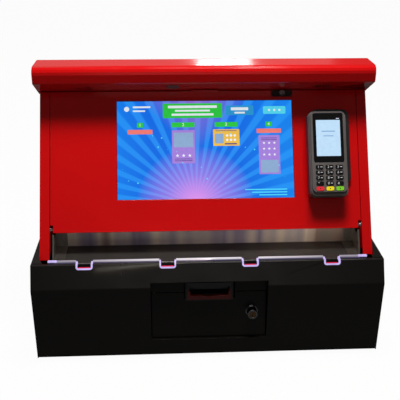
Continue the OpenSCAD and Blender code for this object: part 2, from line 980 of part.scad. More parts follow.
dark_key = [0.06, 0.06, 0.07];
module key_1() { key_at(0, 0, dark_key); }
module key_2() { key_at(1, 0, dark_key); }
module key_3() { key_at(2, 0, dark_key); }
module key_4() { key_at(0, 1, dark_key); }
module key_5() { key_at(1, 1, dark_key); }
module key_6() { key_at(2, 1, dark_key); }
module key_7() { key_at(0, 2, dark_key); }
module key_8() { key_at(1, 2, dark_key); }
module key_9() { key_at(2, 2, dark_key); }
module key_star() { key_at(0, 3, dark_key); }
module key_0() { key_at(1, 3, dark_key); }
module key_hash() { key_at(2, 3, dark_key); }
module key_cancel() { key_at(0, 4, [0.85, 0.1, 0.1]); }
module key_clear() { key_at(1, 4, [0.95, 0.85, 0.05]); }
module key_enter() { key_at(2, 4, [0.35, 0.75, 0.1]); }

// Ticket feeders.

module feeder_deck() {
  front = roller_y - 32;
  color([0.55, 0.56, 0.57])
    difference() {
      union() {
        bar([cab_w - 2 * sheet - 1, cab_back - sheet - front, 2],
          [0, (cab_back - sheet + front) / 2, deck_z + 1]);
        bar([cab_w - 2 * sheet - 1, 2, 14], [0, front + 1, deck_z - 5]);
      }
      for (k = [-1, 0, 1])
        translate([k * (cab_w / 2 - 71), roller_y + 180, deck_z - 1])
          cylinder(d = 30, h = 4);
    }
}

module feeder_frames() {
  top = deck_z + 152;
  y = roller_y;
  rear = y + 188;
  floor_z = deck_z + 2 + seat_gap;
  top_s = (top - base_h + 44 * sin(lean)) / cos(lean);
  nip_y = roller_y + nip * cos(nip_a);
  nip_z = roller_z + nip * sin(nip_a);
  guide = folded([[y - 18, deck_z + 37], [y - 36, deck_z + 22], [y - 47, deck_z + 1]], [16]);
  color([0.6, 0.61, 0.63])
    for (x = lanes)
      translate([x, 0, 0])
        difference() {
          union() {
            both_sides()
              translate([plate_in + 1, 0, 0])
                along_x(2)
                  polygon([[y - 26, floor_z], [rear, floor_z], [rear, top], face_pt(top_s, -44),
                    face_pt(137, -44), face_pt(133, -24), face_pt(102, -21),
                    [y - 37, deck_z + 24], [y - 49, deck_z + 3], [y - 46, deck_z],
                    [y - 33, deck_z + 10]]);
            // Floor, back and cross rail join the two plates.
            bar([2 * plate_in, 158, 2], [0, rear - 79, floor_z + 1]);
            bar([2 * plate_in, 2, 60], [0, rear - 1, floor_z + 30]);
            bar([2 * plate_in, 10, 2], [0, rear - 20, top - 4]);
            // Ramp from the pack to the rollers.
            along_x(2 * plate_in)
              polygon([[y + 60, deck_z + 16], [y + 60, deck_z + 18], [y + 20, deck_z + 36],
                [y + 20, deck_z + 34]]);
            // Curved guide that turns the ticket down into the tray.
            along_x(2 * plate_in)
              polygon(folded_sheet(guide, -1.2));
          }
          for (p = [[roller_y, roller_z], [nip_y, nip_z]])
            translate([0, p[0], p[1]])
              rotate([0, 90, 0])
                cylinder(d = shaft_d + 2 * run_gap, h = 200, center = true);
          // Window in each side plate shows how many tickets are left.
          bar([200, 60, 70], [0, rear - 50, deck_z + 90]);
        }
}

module roller(d, tail) {
  rotate([0, 90, 0])
    union() {
      cylinder(d = d, h = ticket_w - 2, center = true);
      translate([0, 0, -plate_in - 2])
        cylinder(d = shaft_d, h = 2 * plate_in + 2 + tail);
    }
}

module feed_roller(i) {
  color([0.14, 0.14, 0.14])
    translate([lanes[i], roller_y, roller_z])
      roller(feed_d, 10);
}

module pressure_roller(i) {
  color([0.3, 0.3, 0.31])
    translate([lanes[i], roller_y + nip * cos(nip_a), roller_z + nip * sin(nip_a)])
      roller(press_d, 2);
}

module feed_roller_1() { feed_roller(0); }
module feed_roller_2() { feed_roller(1); }
module feed_roller_3() { feed_roller(2); }
module feed_roller_4() { feed_roller(3); }
module pressure_roller_1() { pressure_roller(0); }
module pressure_roller_2() { pressure_roller(1); }
module pressure_roller_3() { pressure_roller(2); }
module pressure_roller_4() { pressure_roller(3); }

module feed_motors() {
  color([0.5, 0.5, 0.52])
    for (x = lanes)
      translate([x + plate_in + 2.3, roller_y, roller_z])
        rotate([0, 90, 0])
          difference() {
            union() {
              cylinder(d = 36, h = motor_l - 5);
              cylinder(d = 24, h = motor_l);
            }
            translate([0, 0, -1])
              cylinder(d = shaft_d + 2 * run_gap, h = 13);
          }
}

module ticket_packs() {
  color([0.93, 0.9, 0.82])
    for (x = lanes)
      difference() {
        bar([ticket_w, 104, 118], [x, roller_y + 118, deck_z + 4 + 2 * seat_gap + 59]);
        // Folds of the fan-folded tickets.
        for (i = [1 : 7])
          bar([ticket_w + 2, 3, 0.8], [x, roller_y + 66.5, deck_z + 4.6 + i * 14]);
      }
}

module power_supply() {
  color([0.66, 0.66, 0.67])
    difference() {
      union() {
        bar([140, 130, 60], [inlet_x, back_y - 80, foot_h + sheet + seat_gap + 30]);
        // Inlet body stands in the opening of the back wall.
        bar([48, 16, 30], [inlet_x, back_y - 7.5, 60]);
      }
      bar([26, 14, 18], [inlet_x, back_y, 60]);
      for (i = [0 : 9])
        bar([4, 20, 30], [inlet_x - 55 + i * 6, back_y - 145, 40]);
    }
}

module hood_screws() {
  color([0.7, 0.7, 0.72])
    difference() {
      union() {
        screw_holes(4);
        for (x = screw_x)
          translate([x, cab_back + seat_gap + sheet + seat_gap, screw_z])
            rotate([-90, 0, 0])
              cylinder(d = 8, h = 3.4);
      }
      for (x = screw_x)
        translate([x, cab_back + 5, screw_z])
          rotate([-90, 0, 0])
            cylinder(d = 4, h = 3, $fn = 6);
    }
}

module mount_screws() {
  color([0.7, 0.7, 0.72])
    on_door()
      mount_screw_places()
        union() {
          translate([0, 0, -sheet - seat_gap - 2.6])
            cylinder(d = 7, h = 2.6);
          translate([0, 0, -sheet - 2])
            cylinder(d = 4, h = 11);
        }
}

base_shell();
base_front();
rubber_feet();
lip_trim();
tray_liner();
tray_end_plates();
bill_header();
bill_bezel();
bill_lamp();
bill_validator();
cash_box();
cash_door();
cash_lock_barrel();
cash_lock_plug();
cabinet_shell();
canopy_hood();
canopy_underside();
speakers();
sensor_window();
hinge_pins();
front_door();
door_lock_plate();
door_lock_barrel();
door_lock_plug();
screen_glass();
screen_panel();
controller();
terminal_mount();
terminal_case();
terminal_glass();
key_1();
key_2();
key_3();
key_4();
key_5();
key_6();
key_7();
key_8();
key_9();
key_star();
key_0();
key_hash();
key_cancel();
key_clear();
key_enter();
feeder_deck();
feeder_frames();
feed_roller_1();
feed_roller_2();
feed_roller_3();
feed_roller_4();
pressure_roller_1();
pressure_roller_2();
pressure_roller_3();
pressure_roller_4();
feed_motors();
ticket_packs();
power_supply();
hood_screws();
mount_screws();
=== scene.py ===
"""Looks of a countertop lottery ticket dispenser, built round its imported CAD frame.

Every sub-assembly is a dataclass that keeps its own sizes and dresses its own nodes. Every finish
is a frozen dataclass that builds one procedural material. Lengths are in metres in the row frame:
the front faces -Y, +Z is up and +X is to the right of someone standing in front.
"""

import logging
import math
from abc import ABC, abstractmethod
from dataclasses import dataclass, field
from enum import Enum
from typing import ClassVar

import bmesh
import bpy
from mathutils import Matrix, Vector


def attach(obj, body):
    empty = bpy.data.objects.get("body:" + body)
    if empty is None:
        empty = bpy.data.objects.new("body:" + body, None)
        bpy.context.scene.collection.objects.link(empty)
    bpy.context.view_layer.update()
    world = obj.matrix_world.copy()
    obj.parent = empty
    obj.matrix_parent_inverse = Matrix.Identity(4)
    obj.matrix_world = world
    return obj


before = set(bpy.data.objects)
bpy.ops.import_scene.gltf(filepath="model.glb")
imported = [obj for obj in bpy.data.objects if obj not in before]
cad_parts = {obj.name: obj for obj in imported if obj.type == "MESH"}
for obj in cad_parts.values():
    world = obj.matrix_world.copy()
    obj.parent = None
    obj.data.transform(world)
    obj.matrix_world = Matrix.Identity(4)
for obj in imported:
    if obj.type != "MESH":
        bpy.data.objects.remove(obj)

LOG = logging.getLogger("dispenser")
Colour = tuple[float, float, float]
Place = tuple[float, float, float]
Point = tuple[float, float]
Shape = tuple[list[Point], float, float]

BASE_TOP = 0.2
DOOR_FOOT, DOOR_LEAN = -0.1232, 30.0
LIP_FRONT, BAND_LEAN = -0.169, math.degrees(math.atan(0.5))
NOISE_LOW, NOISE_HIGH = 0.3, 0.7
PATCH_TOP = 0.65
FINE_RELIEF, HAIR_RELIEF = 0.0002, 0.00015


class Body(str, Enum):
    """CAD bodies that pieces ride on."""

    CABINET = "cabinet"
    DOOR = "door"


class Grain(Enum):
    """Direction in which a surface was brushed."""

    ACROSS = (1.0, 60.0, 60.0)
    UPRIGHT = (60.0, 60.0, 1.0)
    NONE = (30.0, 30.0, 30.0)


def grey(level: float) -> Colour:
    """Neutral colour of one level."""
    return (level, level, level)


def dimmed(colour: Colour, share: float) -> Colour:
    """A colour scaled by a share."""
    return tuple(c * share for c in colour)


# Finishes


@dataclass
class Weave:
    """Small wrapper that grows the node tree of a material or of the world."""

    owner: bpy.types.Material | bpy.types.World

    @classmethod
    def over(cls, owner: bpy.types.Material | bpy.types.World) -> "Weave":
        """Gives a new material or world an empty node tree.

        Args:
            owner: The new material or world.

        Returns:
            The wrapper round it.
        """
        owner.use_nodes = True
        owner.node_tree.nodes.clear()
        return cls(owner)

    @classmethod
    def named(cls, name: str) -> "Weave":
        """Starts an empty node material of that name."""
        return cls.over(bpy.data.materials.new(name))

    def add(self, kind: str, **settings: object) -> bpy.types.Node:
        """Adds a node, sets its properties and feeds its sockets.

        Args:
            kind: Shader node type without its ShaderNode prefix.
            **settings: Property values, or what feeds a socket; spaces are underscores.

        Returns:
            The new node.
        """
        node = self.owner.node_tree.nodes.new("ShaderNode" + kind)
        for key, value in settings.items():
            label = key.replace("_", " ")
            socket = next((s for s in node.inputs if s.name.lower() == label), None)
            if socket is not None and not hasattr(type(node), key):
                self.feed(socket, value)
            else:
                setattr(node, key, value)
        return node

    def feed(self, socket: bpy.types.NodeSocket, source: object) -> None:
        """Sets an input socket or links it.

        Args:
            socket: The input socket.
            source: Number, vector or colour, output socket, or node with one main output.
        """
        if isinstance(source, (int, float)):
            socket.default_value = source
        elif isinstance(source, tuple):
            socket.default_value = (*source, 1.0) if socket.type == "RGBA" else source
        else:
            output = source.outputs[0] if isinstance(source, bpy.types.Node) else source
            self.owner.node_tree.links.new(output, socket)

    def place(self, scale: Place = (1.0, 1.0, 1.0)) -> bpy.types.Node:
        """Object coordinates, stretched by a scale along each axis."""
        coords = self.add("TexCoord")
        return self.add("Mapping", vector=coords.outputs["Object"], scale=scale)

    def noise(self, vector: bpy.types.Node, scale: float, detail: float) -> bpy.types.Node:
        """Noise texture over some coordinates, of a fineness and with octaves of detail."""
        return self.add("TexNoise", vector=vector, scale=scale, detail=detail)

    def spread(self, source: bpy.types.Node, low: float, high: float) -> bpy.types.Node:
        """Maps the usual reach of a noise onto the range from low to high."""
        reach = {"from_min": NOISE_LOW, "from_max": NOISE_HIGH, "to_min": low, "to_max": high}
        return self.add("MapRange", value=source, **reach)

    def ramp(self, source: object, stops: list[tuple[float, Colour]]) -> bpy.types.Node:
        """Colour ramp over a signal.

        Args:
            source: Node or output socket that drives the ramp.
            stops: Positions with their linear colours, in order.

        Returns:
            The ramp node.
        """
        ramp = self.add("ValToRGB")
        elements = ramp.color_ramp.elements
        while len(elements) < len(stops):
            elements.new(0.5)
        for element, (at, colour) in zip(elements, stops):
            element.position = at
            element.color = (*colour, 1.0)
        self.feed(ramp.inputs["Fac"], source)
        return ramp

    def patches(
        self, source: bpy.types.Node, colour: Colour, share: float, top: float = PATCH_TOP
    ) -> bpy.types.Node:
        """Colour that dims in patches.

        Args:
            source: Noise that lays the patches.
            colour: Full colour.
            share: Share of the colour that is left where the noise is low.
            top: Noise at which the full colour is reached.

        Returns:
            The ramp node.
        """
        return self.ramp(source, [(NOISE_LOW, dimmed(colour, share)), (top, colour)])

    def bump(self, height: bpy.types.Node, strength: float, distance: float) -> bpy.types.Node:
        """Bump from a height signal.

        Args:
            height: Height signal.
            strength: Share of the bump that shows.
            distance: Height of the relief in metres.

        Returns:
            The bump node.
        """
        bump = self.add("Bump", strength=strength, distance=distance)
        self.feed(bump.inputs["Height"], height)
        return bump

    def axes(self, source: object) -> bpy.types.NodeOutputs:
        """Splits a vector into its three outputs."""
        return self.add("SeparateXYZ", vector=source).outputs

    def calc(self, kind: str, *operands: object) -> bpy.types.Node:
        """Adds a math node.

        Args:
            kind: Operation of the node.
            *operands: Numbers, nodes or output sockets, in order.

        Returns:
            The new node.
        """
        node = self.add("Math", operation=kind)
        for socket, operand in zip(node.inputs, operands):
            self.feed(socket, operand)
        return node

    def blend(self, share: object, low: object, high: object) -> bpy.types.NodeSocket:
        """Mixes two colours.

        Args:
            share: How much of the second colour shows.
            low: First colour, as a constant, a node or a socket.
            high: Second colour, in the same forms.

        Returns:
            The socket of the mixed colour.
        """
        mix = self.add("Mix", data_type="RGBA")
        for index, source in ((0, share), (6, low), (7, high)):
            self.feed(mix.inputs[index], source)
        return mix.outputs[2]

    def either(self, share: object, low: bpy.types.Node, high: bpy.types.Node) -> bpy.types.Node:
        """Mixes two shaders.

        Args:
            share: How much of the second shader shows.
            low: First shader.
            high: Second shader.

        Returns:
            The mixing node.
        """
        mix = self.add("MixShader")
        for socket, source in zip(mix.inputs, (share, low, high)):
            self.feed(socket, source)
        return mix

    def seen(self, room: bpy.types.Node, camera: bpy.types.Node) -> bpy.types.Node:
        """Shows one shader to the room and another one to the camera."""
        return self.either(self.add("LightPath").outputs["Is Camera Ray"], room, camera)

    def finish(self, shader: bpy.types.Node) -> bpy.types.Material:
        """Ends a material's tree in a shader."""
        self.add("OutputMaterial", surface=shader)
        return self.owner

    def surface(self, **sources: object) -> bpy.types.Material:
        """Ends a material's tree in one principled shader, whose sockets the sources feed."""
        return self.finish(self.add("BsdfPrincipled", **sources))


@dataclass(frozen=True)
class Finish(ABC):
    """Named surface that builds its own node material."""

    name: str

    @abstractmethod
    def build(self) -> bpy.types.Material:
        """Builds the node material.

        Returns:
            The material.
        """


@dataclass(frozen=True)
class PaintedSteel(Finish):
    """Powder coat over sheet steel: fine orange peel, faint mottling and smears."""

    colour: Colour
    shade: Colour
    roughness: float = 0.35
    gloss: float = 0.5
    peel: float = 0.08

    def build(self) -> bpy.types.Material:
        """Builds the node material.

        Returns:
            The material.
        """
        weave = Weave.named(self.name)
        place = weave.place()
        tone = weave.ramp(weave.noise(place, 4.0, 2.0), [(0.2, self.shade), (0.8, self.colour)])
        peel = weave.bump(weave.noise(place, 700.0, 2.0), self.peel, FINE_RELIEF)
        smear = weave.noise(place, 22.0, 4.0)
        rough = weave.spread(smear, self.roughness - 0.03, self.roughness + 0.04)
        return weave.surface(
            base_color=tone, roughness=rough, normal=peel, specular_ior_level=self.gloss
        )


@dataclass(frozen=True)
class BareMetal(Finish):
    """Brushed, plated or polished metal."""

    colour: Colour
    roughness: float = 0.3
    grain: Grain = Grain.NONE
    depth: float = 0.25

    def build(self) -> bpy.types.Material:
        """Builds the node material.

        Returns:
            The material.
        """
        weave = Weave.named(self.name)
        hair = weave.noise(weave.place(self.grain.value), 14.0, 6.0)
        wide = weave.noise(weave.place(), 7.0, 3.0)
        tone = weave.patches(wide, self.colour, 0.78)
        rough = weave.spread(hair, self.roughness * 0.75, self.roughness * 1.35)
        bump = weave.bump(hair, self.depth, HAIR_RELIEF)
        return weave.surface(base_color=tone, roughness=rough, normal=bump, metallic=1.0)


@dataclass(frozen=True)
class Moulded(Finish):
    """Moulded plastic, rubber or card with a fine spark-eroded grain."""

    colour: Colour
    roughness: float = 0.5
    grain_scale: float = 1400.0
    depth: float = 0.2
    glow: float = 0.0
    gloss: float = 0.5

    def build(self) -> bpy.types.Material:
        """Builds the node material.

        Returns:
            The material.
        """
        weave = Weave.named(self.name)
        place = weave.place()
        cloud = weave.noise(place, 24.0, 5.0)
        tone = weave.patches(cloud, self.colour, 0.8)
        rough = weave.spread(cloud, self.roughness - 0.06, self.roughness + 0.06)
        bump = weave.bump(weave.noise(place, self.grain_scale, 2.0), self.depth, FINE_RELIEF)
        lit = {"emission_color": tone} if self.glow > 0.0 else {}
        return weave.surface(
            base_color=tone, roughness=rough, normal=bump, specular_ior_level=self.gloss,
            emission_strength=self.glow, **lit,
        )


@dataclass(frozen=True)
class TwoTone(Finish):
    """Moulded case with a pale face and dark sides, told apart by the face's own direction."""

    face: Colour
    sides: Colour
    out: Colour
    roughness: float = 0.42

    def build(self) -> bpy.types.Material:
        """Builds the node material.

        Returns:
            The material.
        """
        weave = Weave.named(self.name)
        along = weave.add("VectorMath", operation="DOT_PRODUCT")
        weave.feed(along.inputs[0], weave.add("TexCoord").outputs["Normal"])
        weave.feed(along.inputs[1], self.out)
        facing = weave.ramp(along.outputs["Value"], [(0.72, grey(0.0)), (0.9, grey(1.0))])
        place = weave.place()
        cloud = weave.noise(place, 24.0, 5.0)
        pale = weave.patches(cloud, self.face, 0.85)
        side = weave.patches(cloud, self.sides, 0.75)
        rough = weave.spread(cloud, self.roughness - 0.06, self.roughness + 0.06)
        bump = weave.bump(weave.noise(place, 1400.0, 2.0), 0.2, FINE_RELIEF)
        tone = weave.blend(facing, side, pale)
        return weave.surface(base_color=tone, roughness=rough, normal=bump)


@dataclass(frozen=True)
class Glass(Finish):
    """Dark glass or smoked window with a clean gloss."""

    colour: Colour
    roughness: float = 0.08

    def build(self) -> bpy.types.Material:
        """Builds the node material.

        Returns:
            The material.
        """
        weave = Weave.named(self.name)
        smear = weave.noise(weave.place(), 30.0, 6.0)
        rough = weave.spread(smear, self.roughness * 0.7, self.roughness * 1.8)
        return weave.surface(
            base_color=self.colour, roughness=rough, coat_weight=0.6, coat_roughness=0.05
        )


@dataclass(frozen=True)
class Lit(Finish):
    """Backlit surface: an even glow under a glossy cover."""

    colour: Colour
    strength: float = 1.0
    speckle: float = 0.0

    def build(self) -> bpy.types.Material:
        """Builds the node material.

        Returns:
            The material.
        """
        weave = Weave.named(self.name)
        cells = weave.noise(weave.place(), 160.0, 2.0)
        tone = weave.patches(cells, self.colour, 0.92 - self.speckle, NOISE_HIGH)
        return weave.surface(
            base_color=dimmed(self.colour, 0.25), roughness=0.25,
            emission_color=tone, emission_strength=self.strength,
        )


@dataclass(frozen=True)
class TrayMetal(Finish):
    """Brushed steel of the ticket tray with painted light: a dark floor of painted shade, and a
    back face with soft upright bands of painted reflection.
    """

    wall: Colour
    floor: Colour
    tints: tuple[Colour, Colour] = ((0.34, 0.3, 0.44), (0.4, 0.27, 0.22))
    front: float = -0.14

    def build(self) -> bpy.types.Material:
        """Builds the node material.

        Returns:
            The material.
        """
        weave = Weave.named(self.name)
        # Painted reflection: upright bands across the back face, near white with a violet and an
        # orange tint, dimmed to a third where the bands end.
        reflection_bands = weave.noise(weave.place((6.0, 0.0, 0.0)), 1.0, 3.0)
        dark = dimmed(self.wall, 0.3)
        wall = weave.ramp(reflection_bands, [
            (0.33, dark), (0.41, self.wall), (0.46, self.tints[0]), (0.53, self.wall),
            (0.58, self.tints[1]), (0.66, dark),
        ])
        hairs = weave.noise(weave.place(Grain.ACROSS.value), 9.0, 5.0)
        floor = weave.patches(hairs, self.floor, 0.7, NOISE_HIGH)
        # Painted shade: faces that look up, and all of the liner ahead of the front line, take the
        # dark floor colour.
        upward = weave.axes(weave.add("NewGeometry").outputs["True Normal"])[2]
        ahead = weave.calc("LESS_THAN", weave.axes(weave.place())[1], self.front)
        tone = weave.blend(weave.calc("MAXIMUM", upward, ahead), wall, floor)
        hair = weave.noise(weave.place(Grain.UPRIGHT.value), 14.0, 6.0)
        bump = weave.bump(hair, 0.3, 0.0001)
        rough = weave.spread(hair, 0.3, 0.46)
        return weave.surface(base_color=tone, roughness=rough, normal=bump, metallic=0.3)


@dataclass(frozen=True)
class LitEdging(Finish):
    """Clear edging that glows in the notches and at both ends; between them, a thin line along the
    top face is a painted highlight, brightest in the middle.
    """

    pitch: float
    notch: float
    bright: Colour
    faint: Colour
    # Colour of the painted highlight along the top face.
    line: Colour
    ends: float = 0.283
    brim: float = 0.2016
    slack: float = 0.0005

    def build(self) -> bpy.types.Material:
        """Builds the node material.

        Returns:
            The material.
        """
        weave = Weave.named(self.name)
        x, _, z = weave.axes(weave.place())
        half = self.pitch / 2
        near = weave.calc("PINGPONG", weave.calc("SUBTRACT", x, half), half)
        inside = weave.calc("LESS_THAN", near, self.notch / 2 + self.slack)
        side = weave.calc("ABSOLUTE", x)
        above = weave.calc("GREATER_THAN", z, self.brim)
        tab = weave.calc("MULTIPLY", weave.calc("GREATER_THAN", side, self.ends), above)
        # Painted highlight: the line along the top face is brightest in the middle and fades
        # towards both sides.
        middle = weave.ramp(side, [(0.0, grey(1.0)), (0.12, grey(0.9)), (0.24, grey(0.35))])
        line = weave.blend(weave.calc("MULTIPLY", above, middle), self.faint, self.line)
        grain = weave.noise(weave.place(), 90.0, 3.0)
        bright = weave.patches(grain, self.bright, 0.7, NOISE_HIGH)
        tone = weave.blend(weave.calc("MAXIMUM", inside, tab), line, bright)
        return weave.surface(
            base_color=(0.12, 0.11, 0.13), roughness=0.22,
            emission_color=tone, emission_strength=1.0,
        )


@dataclass(frozen=True)
class RayPicture(Finish):
    """Display background: two blues in rays from below the lower edge, under pink, violet and cyan.

    It reads the screen plane's own UV, so it stays on the screen when the door swings.
    """

    rays: int = 42
    strength: float = 0.95
    source: Point = (0.44, -0.06)
    aspect: float = 1.78
    blues: tuple[Colour, Colour] = ((0.006, 0.15, 0.8), (0.02, 0.27, 0.93))
    pink: Colour = (0.72, 0.3, 0.88)
    violet: Colour = (0.36, 0.16, 0.62)
    cyan: Colour = (0.01, 0.34, 0.98)

    def build(self) -> bpy.types.Material:
        """Builds the node material.

        Returns:
            The material.
        """
        weave = Weave.named(self.name)
        u, v, _ = weave.axes(weave.add("TexCoord").outputs["UV"])
        across = weave.calc("MULTIPLY", weave.calc("SUBTRACT", u, self.source[0]), self.aspect)
        up = weave.calc("SUBTRACT", v, self.source[1])
        turn = weave.calc("MULTIPLY", weave.calc("ARCTAN2", across, up), float(self.rays))
        edge = weave.calc("ADD", weave.calc("MULTIPLY", weave.calc("SINE", turn), 1.3), 0.3)
        blue = weave.ramp(edge, [(0.0, self.blues[0]), (1.0, self.blues[1])])
        aside = weave.calc("ABSOLUTE", across)
        squares = weave.calc("ADD", weave.calc("POWER", aside, 2.0), weave.calc("POWER", up, 2.0))
        near = weave.ramp(
            weave.calc("SQRT", squares), [(0.08, grey(1.0)), (0.3, grey(0.42)), (0.6, grey(0.0))]
        )
        top = weave.ramp(weave.calc("SUBTRACT", v, aside), [(0.45, grey(0.0)), (1.0, grey(0.75))])
        sides = weave.ramp(aside, [(0.45, grey(0.0)), (0.9, grey(0.4))])
        tone = weave.blend(near, blue, self.pink)
        tone = weave.blend(top, tone, self.violet)
        tone = weave.blend(sides, tone, self.cyan)
        return weave.surface(
            base_color=(0.004, 0.01, 0.02), roughness=0.2,
            emission_color=tone, emission_strength=self.strength,
        )


RED = PaintedSteel("red_powder_coat", (0.76, 0.004, 0.005), (0.7, 0.0035, 0.0045), 0.145, 0.4)
BLACK = PaintedSteel("black_powder_coat", (0.009, 0.0075, 0.006), (0.007, 0.006, 0.005), 0.3, 0.28)
# Near-white painted reflection for the tray's back face, dark painted shade for its floor.
TRAY = TrayMetal("brushed_tray", (0.97, 0.86, 0.72), (0.05, 0.045, 0.04))
PLATES = BareMetal("end_plate_steel", (0.4, 0.37, 0.33), 0.34, Grain.UPRIGHT)
PLATED = BareMetal("plated_sheet", (0.5, 0.51, 0.54), 0.42)
STEEL = BareMetal("plain_steel", (0.56, 0.56, 0.58), 0.28)
RING = BareMetal("lock_ring_chrome", (0.17, 0.17, 0.18), 0.09, depth=0.05)
DARK_CHROME = BareMetal("dark_chrome", (0.2, 0.2, 0.21), 0.16, depth=0.05)
DARK_BRASS = BareMetal("dark_brass", (0.17, 0.1, 0.05), 0.24)
RUBBER = Moulded("foot_rubber", (0.02, 0.02, 0.02), 0.75, 600.0)
SLEEVE = Moulded("roller_sleeve", (0.03, 0.03, 0.032), 0.7, 500.0)
HOUSING = Moulded("black_housing", (0.03, 0.03, 0.033), 0.5)
BEZEL = Moulded("bezel_plastic", (0.009, 0.009, 0.01), 0.4)
CARD = Moulded("ticket_card", (0.8, 0.76, 0.62), 0.7, 500.0)
LOCK_PLATE = Moulded("lock_plate", (0.006, 0.006, 0.006), 0.35)
MOUNT = Moulded("mount_plastic", (0.008, 0.008, 0.009), 0.5)
KEY_DARK = Moulded("key_dark", (0.006, 0.006, 0.007), 0.38, gloss=0.3)
SMOKED = Glass("smoked_window", (0.03, 0.032, 0.036))
SCREEN_EDGE = Glass("screen_edge", (0.004, 0.004, 0.005))
BLACK_GLASS = Glass("black_glass", (0.004, 0.004, 0.005))
BILL_GLOW = Lit("bill_glow", (0.2, 0.01, 0.006), 0.04, 0.4)
NOTCH_RED = Lit("notch_light", (0.9, 0.01, 0.08), 0.7)
MENU_GREEN = Lit("menu_green", (0.03, 0.62, 0.06), 0.85)
MENU_BLUE = Lit("menu_blue", (0.03, 0.36, 0.75), 0.8)
MENU_WHITE = Lit("menu_white", (0.86, 0.92, 0.98), 0.85)
MENU_CYAN = Lit("menu_cyan", (0.1, 0.75, 0.95), 0.85)
MENU_CORAL = Lit("menu_coral", (0.9, 0.2, 0.17), 0.85)
MENU_VIOLET = Lit("menu_violet", (0.42, 0.25, 0.8), 0.75)
MENU_AMBER = Lit("menu_amber", (0.9, 0.55, 0.08), 0.8)
MENU_PALE = Lit("menu_pale", (0.3, 0.46, 0.72), 0.75)
MENU_INK = Lit("menu_ink", (0.1, 0.06, 0.3), 0.6)


# Building blocks


@dataclass(frozen=True)
class Plane:
    """A leaning plane: origin, the direction up the slope and the outward normal."""

    origin: Vector
    up: Vector
    out: Vector

    @property
    def across(self) -> Vector:
        """Direction to the right on the plane."""
        return self.up.cross(self.out)

    def matrix(self, x: float = 0.0, v: float = 0.0, t: float = 0.0) -> Matrix:
        """World matrix of a point on the plane, with local X across, Y up the slope and Z out.

        Args:
            x: Place across the plane.
            v: Place up the slope.
            t: Height above the plane.

        Returns:
            World matrix of that point.
        """
        base = self.origin + self.across * x + self.up * v + self.out * t
        turn = Matrix((self.across, self.up, self.out)).transposed().to_4x4()
        return Matrix.Translation(base) @ turn

    @classmethod
    def leaning(cls, y: float, z: float, degrees: float) -> "Plane":
        """Plane through (y, z) that leans back from upright by an angle.

        Args:
            y: Place of the foot line along Y.
            z: Height of the foot line.
            degrees: Lean back from upright.

        Returns:
            The plane.
        """
        a = math.radians(degrees)
        up = Vector((0.0, math.sin(a), math.cos(a)))
        out = Vector((0.0, -math.cos(a), math.sin(a)))
        return cls(Vector((0.0, y, z)), up, out)


def rounded(width: float, height: float, radius: float, steps: int = 5) -> list[Point]:
    """Outline of a rounded rectangle about its centre.

    Args:
        width: Full width.
        height: Full height.
        radius: Corner radius.
        steps: Segments per corner.

    Returns:
        Points of the outline, counterclockwise.
    """
    points: list[Point] = []
    for quarter, (sx, sy) in enumerate(((1, 1), (-1, 1), (-1, -1), (1, -1))):
        cx, cy = sx * (width / 2 - radius), sy * (height / 2 - radius)
        for i in range(steps + 1):
            a = math.radians(90 * quarter + 90 * i / steps)
            points.append((cx + radius * math.cos(a), cy + radius * math.sin(a)))
    return points


def disc(radius: float, steps: int = 24) -> list[Point]:
    """Outline of a circle about its centre."""
    turns = [2 * math.pi * i / steps for i in range(steps)]
    return [(radius * math.cos(a), radius * math.sin(a)) for a in turns]


def star(outer: float, inner: float, points: int = 5) -> list[Point]:
    """Outline of a star about its centre.

    Args:
        outer: Radius of the tips.
        inner: Radius of the notches.
        points: Number of tips.

    Returns:
        Points of the outline, counterclockwise.
    """
    out: list[Point] = []
    for i in range(2 * points):
        r = outer if i % 2 == 0 else inner
        a = math.pi / 2 + math.pi * i / points
        out.append((r * math.cos(a), r * math.sin(a)))
    return out


def added(name: str, data: bpy.types.ID) -> bpy.types.Object:
    """New object in the scene's own collection.

    Args:
        name: Object name.
        data: Mesh, curve, light or camera that it shows.

    Returns:
        The object.
    """
    obj = bpy.data.objects.new(name, data)
    bpy.context.scene.collection.objects.link(obj)
    return obj


